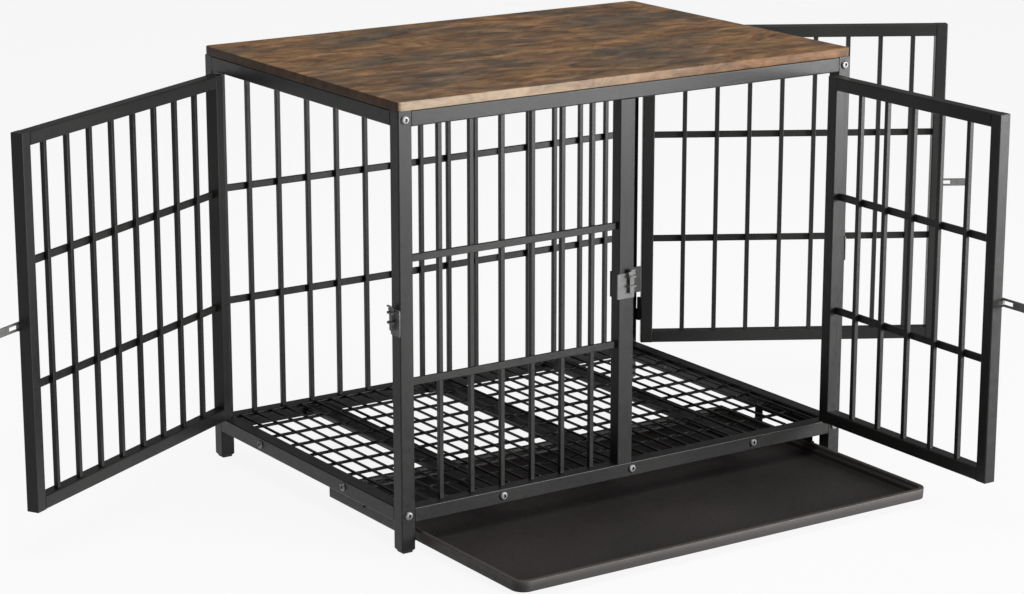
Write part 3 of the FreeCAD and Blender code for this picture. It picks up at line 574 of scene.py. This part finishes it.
meshes = []
for part in islands(nodes["frame_screws"].data):
    low, high = box_round(part)
    middle = (low + high) / 2
    axis = max(range(3), key=lambda i: high[i] - low[i])
    outward = Vector((0, 0, 0))
    outward[axis] = 1.0 if middle[axis] > 0 else -1.0
    seat = middle.copy()
    seat[axis] = (high if outward[axis] > 0 else low)[axis] - outward[axis] * HEAD_HIGH
    turn = outward.to_track_quat("Z", "Y").to_matrix().to_4x4()
    one = stack("screw", screw_rings(high[axis] - low[axis] - HEAD_HIGH))
    one.transform(Matrix.Translation(seat) @ turn)
    meshes.append(one)
screws = show("button_head_screws", joined("button_head_screws", meshes), zinc, "frame")
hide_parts("frame_screws")

# %% [markdown]
# ## The feet
#
# A plastic plug is pushed into the foot of each post. Its stem is inside the tube. What shows is
# a thin collar under the post and a smaller pad with soft corners that stands on the floor.

# %% Feet
FOOT_SOFT = 0.0012                         # radius of the pad's lower edge
PAD_CORNER = 0.003
PAD_INSET, STEM_INSET = 0.0026, 0.0010     # inward from the collar
COLLAR = 0.0015                            # thickness of the collar
post_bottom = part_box("post_front_left")[0][2]
meshes = []
for part in islands(nodes["foot_plugs"].data):
    low, high = box_round(part)
    profile = (arc(PAD_INSET + FOOT_SOFT, FOOT_SOFT, FOOT_SOFT, 270, 180, 4)
               + [(PAD_INSET, post_bottom - COLLAR), (0.0, post_bottom - COLLAR),
                  (0.0, post_bottom), (STEM_INSET, post_bottom), (STEM_INSET, high[2])])
    foot_rings = [[(x, y, height) for x, y in round_rectangle(low, high, inset, PAD_CORNER)]
                  for inset, height in profile]
    meshes.append(stack("foot", foot_rings))
feet = show("foot_plugs_moulded", joined("foot_plugs_moulded", meshes), foot_plastic, "frame")
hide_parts("foot_plugs")

# %% [markdown]
# ## Bars with eased edges
#
# A drawn steel bar has edges that are slightly round, and coating rounds them further. Each one
# catches the light as a thin line along the bar, and those lines make a cage look like metal.
# The bars, cross rails and grate wires of the frame are plain boxes, so a bevel of their edges is
# all they need. It is made in the mesh itself.

# %% Eased bars
BAR_EASE, WIRE_EASE = 0.0009, 0.0005
SHARP, FLAT = math.radians(50), math.radians(1)
body_of = {name: body for body, names in record["behaviour"]["bodies"].items() for name in names}


def eased(node, ease):
    """Copy of a node's mesh with a bevel along each sharp edge."""
    build = bmesh.new()
    build.from_mesh(nodes[node].data)
    bmesh.ops.remove_doubles(build, verts=build.verts, dist=SAME_PLACE)
    bmesh.ops.dissolve_limit(build, angle_limit=FLAT, verts=build.verts, edges=build.edges)
    sharp = [edge for edge in build.edges
             if len(edge.link_faces) == 2 and edge.calc_face_angle() > SHARP]
    bmesh.ops.bevel(build, geom=sharp, offset=ease, offset_type="OFFSET", segments=2, profile=0.5,
                    affect="EDGES", clamp_overlap=True)
    mesh = bpy.data.meshes.new(node)
    build.to_mesh(mesh)
    build.free()
    return mesh


for node in sorted(nodes):
    if node.endswith(("_bars", "_rails", "floor_grate")):
        ease = WIRE_EASE if node == "floor_grate" else BAR_EASE
        bars = show(f"{node}_eased", eased(node, ease), powder, body_of[node], 20.0)
        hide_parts(node)

# %% [markdown]
# ## Bent strips
#
# Latches and tray runners are strips of sheet steel bent to shape. A strip is a path in a plane
# and a width across it: at each point of the path stands one small ring, the section of the strip
# with its corners eased, and the ring helper joins them. Real bends are round, so the corners of
# the path are rounded first.

# %% Strip helpers
STRIP_EASE = 0.22                          # eased corner of a strip, as a share of its thickness


def bent(points, radius, steps=5):
    """Path through points, with an arc of a radius at each corner between them."""
    path = [Vector(points[0])]
    for before, corner, after in zip(points, points[1:], points[2:]):
        corner = Vector(corner)
        back = (Vector(before) - corner).normalized()
        on = (Vector(after) - corner).normalized()
        half = back.angle(on) / 2
        reach = radius / math.tan(half)
        middle = corner + (back + on).normalized() * (radius / math.sin(half))
        start, end = corner + back * reach - middle, corner + on * reach - middle
        for step in range(steps + 1):
            path.append(middle + start.slerp(end, step / steps).normalized() * radius)
    path.append(Vector(points[-1]))
    return path


def strip_mesh(name, path, wide, thick, place):
    """Closed strip along a path of (u, v) points; wide gives its width along w at each point."""
    rings = []
    soft, half = thick * STRIP_EASE, thick / 2
    for i, point in enumerate(path):
        along = (path[min(i + 1, len(path) - 1)] - path[max(i - 1, 0)]).normalized()
        side = Vector((-along.y, along.x))
        reach = (wide if isinstance(wide, float) else wide[i]) / 2
        ring = [(reach, half - soft), (reach - soft, half), (soft - reach, half),
                (-reach, half - soft), (-reach, soft - half), (soft - reach, -half),
                (reach - soft, -half), (reach, soft - half)]
        rings.append([place(point.x + side.x * through, point.y + side.y * through, across)
                      for across, through in ring])
    return stack(name, rings)


# %% [markdown]
# ## The latches
#
# A door's flat tongue has a slot that goes over a staple on the post, and a drop bolt then falls
# through the staple in front of it. A guide above keeps the bolt upright, a wider head stops it
# from falling through, and its curled top gives a finger something to lift. Each latch is built
# in its own axes: across the post, out from it, and up.

# %% Latches
WIRE = 0.0022                              # sheet of the staples and the bolts
PLATE, PLATE_CORNER, PLATE_EASE = 0.002, 0.0025, 0.0005
STAPLE_HIGH, LOOP_BEND = 0.0032, 0.0020
STAPLE_LEVELS = (0.380, 0.396)             # middle of the staple, and of the guide above it
BOLT_GAP = 0.0012                          # between the bolt and the loop round it
BOLT_WIDE, BOLT_HEAD_WIDE = 0.009, 0.014
BOLT_MIDDLE = 0.0064                       # of the bolt's thickness, out from the post
TIP_HIGH, TIP_NARROWS = 0.0015, 0.003      # the bolt's lower end
BOLT_HALFWAY = 0.385                       # a ring between the tip and the head
HEAD_LEVEL, HEAD_TOP, SHOULDER = 0.3984, 0.4040, 0.0006
CURL, CURL_RISE, CURL_REACH = 0.0032, 0.0002, 0.002
UP = Vector((0, 0, 1))
OUTWARD = {"front": Vector((0, -1, 0)), "left": Vector((-1, 0, 0)), "right": Vector((1, 0, 0))}


def keeper_mesh(at_latch, low, high):
    """Plate with eased corners, and a staple and a guide on it."""
    plate_rings = [[at_latch(u, depth, v)
                    for u, v in round_rectangle(low, high, inset, PLATE_CORNER)]
                   for inset, depth in ((0.0, 0.0), (0.0, PLATE - PLATE_EASE),
                                        (PLATE_EASE, PLATE))]
    half_loop = BOLT_WIDE / 2 + BOLT_GAP + WIRE / 2
    loop_out = BOLT_MIDDLE + WIRE / 2 + BOLT_GAP + WIRE / 2
    loop_path = bent([(-half_loop, PLATE / 2), (-half_loop, loop_out),
                      (half_loop, loop_out), (half_loop, PLATE / 2)], LOOP_BEND)
    loops = [strip_mesh("loop", loop_path, STAPLE_HIGH, WIRE,
                        lambda u, v, w, level=level: at_latch(u, v, level + w))
             for level in STAPLE_LEVELS]
    return joined("keeper", [stack("plate", plate_rings)] + loops)


def bolt_mesh(at_latch, bottom):
    """Drop bolt: an upright strip with a narrower tip, a wider head and a curled top."""
    heights = (bottom, bottom + TIP_HIGH, BOLT_HALFWAY, HEAD_LEVEL, HEAD_LEVEL + SHOULDER,
               HEAD_TOP - SHOULDER, HEAD_TOP)
    path = [Vector((BOLT_MIDDLE, height)) for height in heights]
    wide = [BOLT_WIDE - TIP_NARROWS] + [BOLT_WIDE] * 3 + [BOLT_HEAD_WIDE] * 2 + [BOLT_WIDE]
    curl_top = HEAD_TOP + CURL + CURL_RISE
    curl = bent([(BOLT_MIDDLE, HEAD_TOP), (BOLT_MIDDLE, curl_top),
                 (BOLT_MIDDLE + CURL + CURL_REACH, curl_top)], CURL)[1:]
    return strip_mesh("bolt", path + curl, wide + [BOLT_WIDE] * len(curl), WIRE,
                      lambda u, v, w: at_latch(w, u, v))


for side_name, out in OUTWARD.items():
    across = UP.cross(out)
    keeper_low, keeper_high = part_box(f"{side_name}_latch_keeper")
    bolt_low, bolt_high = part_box(f"{side_name}_latch_bolt")
    offset = ((bolt_low + bolt_high) / 2).dot(across)
    face = min(corner.dot(out) for corner in (keeper_low, keeper_high))
    origin = across * offset + out * face

    def at_latch(across_by, out_by, height):
        """Point beside the bolt's middle, out from the post's face and above the floor."""
        return origin + across * across_by + out * out_by + UP * height

    near, far = sorted((keeper_low.dot(across), keeper_high.dot(across)))
    keeper = show(f"{side_name}_staple_plate",
                  keeper_mesh(at_latch, (near - offset, keeper_low.z),
                              (far - offset, keeper_high.z)),
                  latch_steel, "frame")
    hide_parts(f"{side_name}_latch_keeper")
    bolt = show(f"{side_name}_drop_bolt", bolt_mesh(at_latch, bolt_low.z), latch_steel,
                f"{side_name}_latch_bolt")
    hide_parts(f"{side_name}_latch_bolt")

# %% [markdown]
# ## The tray runners
#
# On each side a channel of bent sheet carries the rim of the tray. Two hangers join it to the
# side rail above. The path below is the section of the channel, from the lower flange round the
# web to the upper one, and the strip's width is the length of the runner.

# %% Tray runners
SHEET, RUNNER_BEND = 0.002, 0.0024
LIP_OVER = 0.006                           # upper flange, inward from the web
WEB_INSET = 0.003                          # the web stands inside the hangers
RIM_PLAY = 0.0003                          # between the tray's rim and the upper flange
HANGER_WIDE, HANGER_THICK = 0.020, 0.003
HANGER_START = 0.015                       # above the channel's lower edge
HANGER_PLACES = (0.018, 0.158)             # behind the front end of the runner
runner_top = tray_high[2] + RIM_PLAY + SHEET
for side_name, sign in (("left", -1.0), ("right", 1.0)):
    low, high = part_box(f"tray_runner_{side_name}")
    outer, inner = (low.x, high.x) if sign < 0 else (high.x, low.x)
    web = outer - sign * (WEB_INSET + SHEET / 2)
    middle_y = (low.y + high.y) / 2
    channel = bent([(inner, low.z + SHEET / 2), (web, low.z + SHEET / 2),
                    (web, runner_top - SHEET / 2),
                    (web - sign * LIP_OVER, runner_top - SHEET / 2)], RUNNER_BEND)
    meshes = [strip_mesh("channel", channel, high.y - low.y, SHEET,
                         lambda u, v, w: Vector((u, middle_y + w, v)))]
    hanger_x = outer - sign * HANGER_THICK / 2
    hanger = [Vector((hanger_x, low.z + HANGER_START)), Vector((hanger_x, high.z))]
    for place_y in HANGER_PLACES:
        meshes.append(strip_mesh("hanger", hanger, HANGER_WIDE, HANGER_THICK,
                                 lambda u, v, w, y=low.y + place_y: Vector((u, y + w, v))))
    runner = show(f"{side_name}_tray_runner_bent", joined("runner", meshes), powder, "frame")
    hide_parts(f"tray_runner_{side_name}")

# %% [markdown]
# ## Floor and background
#
# The crate stands on a white floor that runs to the edge of the picture. Camera rays, and rays
# that a shiny part mirrors, see mostly an even white; all other rays see an ordinary pale floor,
# which bounces soft light under the crate. The part of the floor that is not the even white
# keeps the shadow.

# %% Floor
FLOOR_HALF = 40.0
EVEN_WHITE = 0.90                          # share of the floor that shows no shadow
FLOOR_TONE = (0.60, 0.60, 0.60, 1.0)
FLOOR_ROUGH, FLOOR_MIRROR = 0.9, 0.1
floor_build = bmesh.new()
floor_corners = [(-FLOOR_HALF, -FLOOR_HALF, 0), (FLOOR_HALF, -FLOOR_HALF, 0),
                 (FLOOR_HALF, FLOOR_HALF, 0), (-FLOOR_HALF, FLOOR_HALF, 0)]
floor_build.faces.new([floor_build.verts.new(corner) for corner in floor_corners])
floor_mesh = bpy.data.meshes.new("studio_floor")
floor_build.to_mesh(floor_mesh)
floor_build.free()
floor = bpy.data.objects.new("studio_floor", floor_mesh)
bpy.context.scene.collection.objects.link(floor)

pale, tree, shader = material("pale_floor")
shader.inputs["Base Color"].default_value = FLOOR_TONE
shader.inputs["Roughness"].default_value = FLOOR_ROUGH
shader.inputs["Specular IOR Level"].default_value = FLOOR_MIRROR
path = add(tree, "ShaderNodeLightPath")
seen = add(tree, "ShaderNodeMath", {0: path.outputs["Is Camera Ray"],
                                    1: path.outputs["Is Glossy Ray"]}, operation="MAXIMUM")
seen = add(tree, "ShaderNodeMath", {0: seen.outputs["Value"],
                                    1: path.outputs["Is Transmission Ray"]}, operation="MAXIMUM")
share = add(tree, "ShaderNodeMath", {0: seen.outputs["Value"], 1: EVEN_WHITE},
            operation="MULTIPLY")
white = add(tree, "ShaderNodeEmission", {"Color": (1.0, 1.0, 1.0, 1.0), "Strength": 1.0})
mixed = add(tree, "ShaderNodeMixShader", {0: share.outputs["Value"], 1: shader.outputs["BSDF"],
                                          2: white.outputs["Emission"]})
tree.links.new(mixed.outputs["Shader"], tree.nodes["Material Output"].inputs["Surface"])
floor_mesh.materials.append(pale)
print("floor:", 2 * FLOOR_HALF, "m square")

# %% [markdown]
# ## Light
#
# The picture shows grey front faces and nearly black left faces on the same black steel. That
# comes from one large soft light to the right of the camera, which the front faces mirror, and
# darkness on the left. Satin black shows its surroundings, so the size and place of that light
# are chosen by what each face should mirror. It stands low, so that the board does not mirror it
# to someone who stands behind the crate. A second soft light hangs over the board, and the sky
# adds a little from everywhere.

# %% Light
SKY_LEVEL = 0.16                           # what all rays but the camera's see of the sky
CRATE_MIDDLE = (0.0, 0.0, 0.4)
# Place and size in metres, power in watts.
SIDE_PLACE, SIDE_SIZE, SIDE_POWER = (3.2, -4.2, 0.8), (3.2, 1.5), 470.0
TOP_PLACE, TOP_SIZE, TOP_POWER = (-0.4, -0.4, 4.0), (3.5, 3.5), 135.0

world = bpy.data.worlds.new("studio")
bpy.context.scene.world = world
world.use_nodes = True
tree = world.node_tree
sky = tree.nodes["Background"]
sky.inputs["Color"].default_value = (1.0, 1.0, 1.0, 1.0)
path = add(tree, "ShaderNodeLightPath")
sky_strength = spread(tree, path.outputs["Is Camera Ray"], SKY_LEVEL, 1.0)
tree.links.new(sky_strength, sky.inputs["Strength"])


def soft_light(name, place, target, size, power):
    """Rectangular area light that points at a target."""
    data = bpy.data.lights.new(name, "AREA")
    data.shape = "RECTANGLE"
    data.size, data.size_y = size
    data.energy = power
    lamp = bpy.data.objects.new(name, data)
    lamp.location = place
    lamp.rotation_euler = (Vector(target) - Vector(place)).to_track_quat("-Z", "Y").to_euler()
    bpy.context.scene.collection.objects.link(lamp)
    print(name, "at", place, power, "W")


soft_light("right_front_light", SIDE_PLACE, CRATE_MIDDLE, SIDE_SIZE, SIDE_POWER)
soft_light("top_light", TOP_PLACE, CRATE_MIDDLE, TOP_SIZE, TOP_POWER)

# %% [markdown]
# ## Finish
#
# The colours are shown through the Standard view transform.

# %% Set the view transform
bpy.context.scene.view_settings.view_transform = "Standard"
